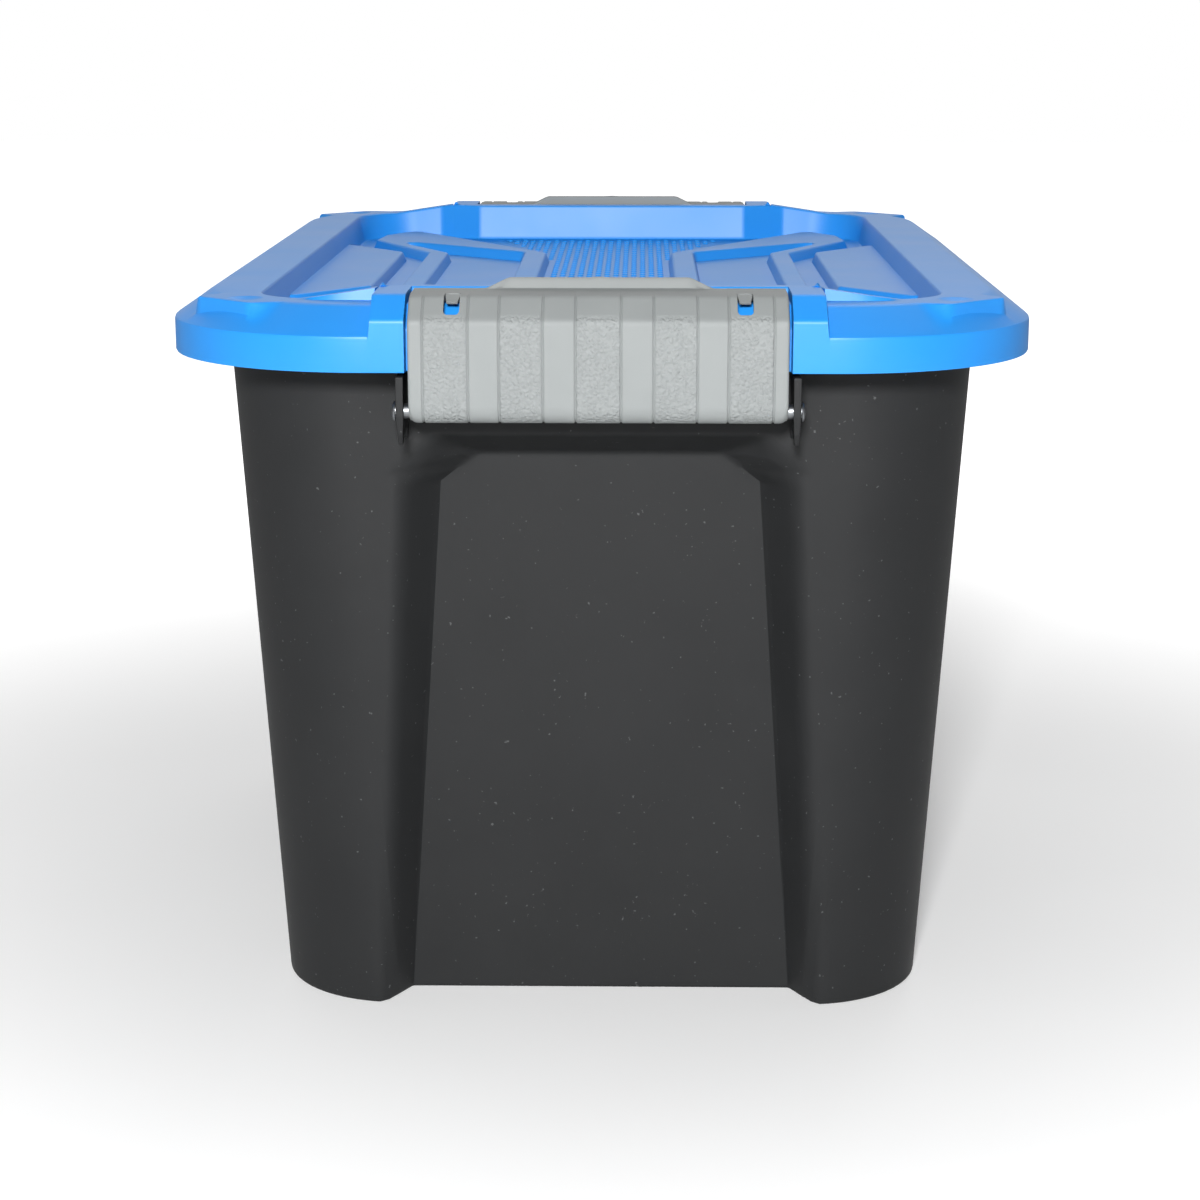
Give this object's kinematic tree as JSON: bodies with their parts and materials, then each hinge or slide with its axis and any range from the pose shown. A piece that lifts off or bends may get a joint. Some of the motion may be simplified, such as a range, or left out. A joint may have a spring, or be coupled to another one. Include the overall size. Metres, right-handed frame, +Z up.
{
  "type": "lidded storage tote",
  "caption": "Heavy-duty plastic storage tote with a drafted tub, a lift-off tray-top lid and a hinged clamping latch at each end.",
  "frame": {"origin": "centre of the tub's flat base, on the surface the tote stands on", "axes": "+Z up, +Y along the tote's length towards the rear latch, +X across it"},
  "size_m": [0.43, 0.614, 0.3757],
  "materials": {
    "tub_plastic": "fine matt moulding grain",
    "lid_plastic": "satin moulded",
    "latch_plastic": "satin with leather-grain panels",
    "pin_steel": "zinc plated"
  },
  "bodies": {
    "tub": {"tub": "tub_plastic", "pivot_pin_front_a": "pin_steel", "pivot_pin_front_b": "pin_steel", "pivot_pin_rear_a": "pin_steel", "pivot_pin_rear_b": "pin_steel"},
    "lid": {"lid": "lid_plastic"},
    "latch_front": {"latch_front": "latch_plastic"},
    "latch_rear": {"latch_rear": "latch_plastic"}
  },
  "joints": [
    {"name": "lid_lift", "type": "slide", "parent": "tub", "child": "lid", "axis": [0, 0, 1], "range_m": [0, 0.05]},
    {"name": "latch_front_swing", "type": "hinge", "parent": "tub", "child": "latch_front", "pos_m": [0, -0.298, 0.3156], "axis": [1, 0, 0], "range_deg": [0, 165]},
    {"name": "latch_rear_swing", "type": "hinge", "parent": "tub", "child": "latch_rear", "pos_m": [0, 0.298, 0.3156], "axis": [-1, 0, 0], "range_deg": [0, 165]}
  ],
  "couplings": [
    {"joint": "latch_front_swing", "follows": "lid_lift", "rad_per_m": 57.59},
    {"joint": "latch_rear_swing", "follows": "lid_lift", "rad_per_m": 57.59}
  ]
}
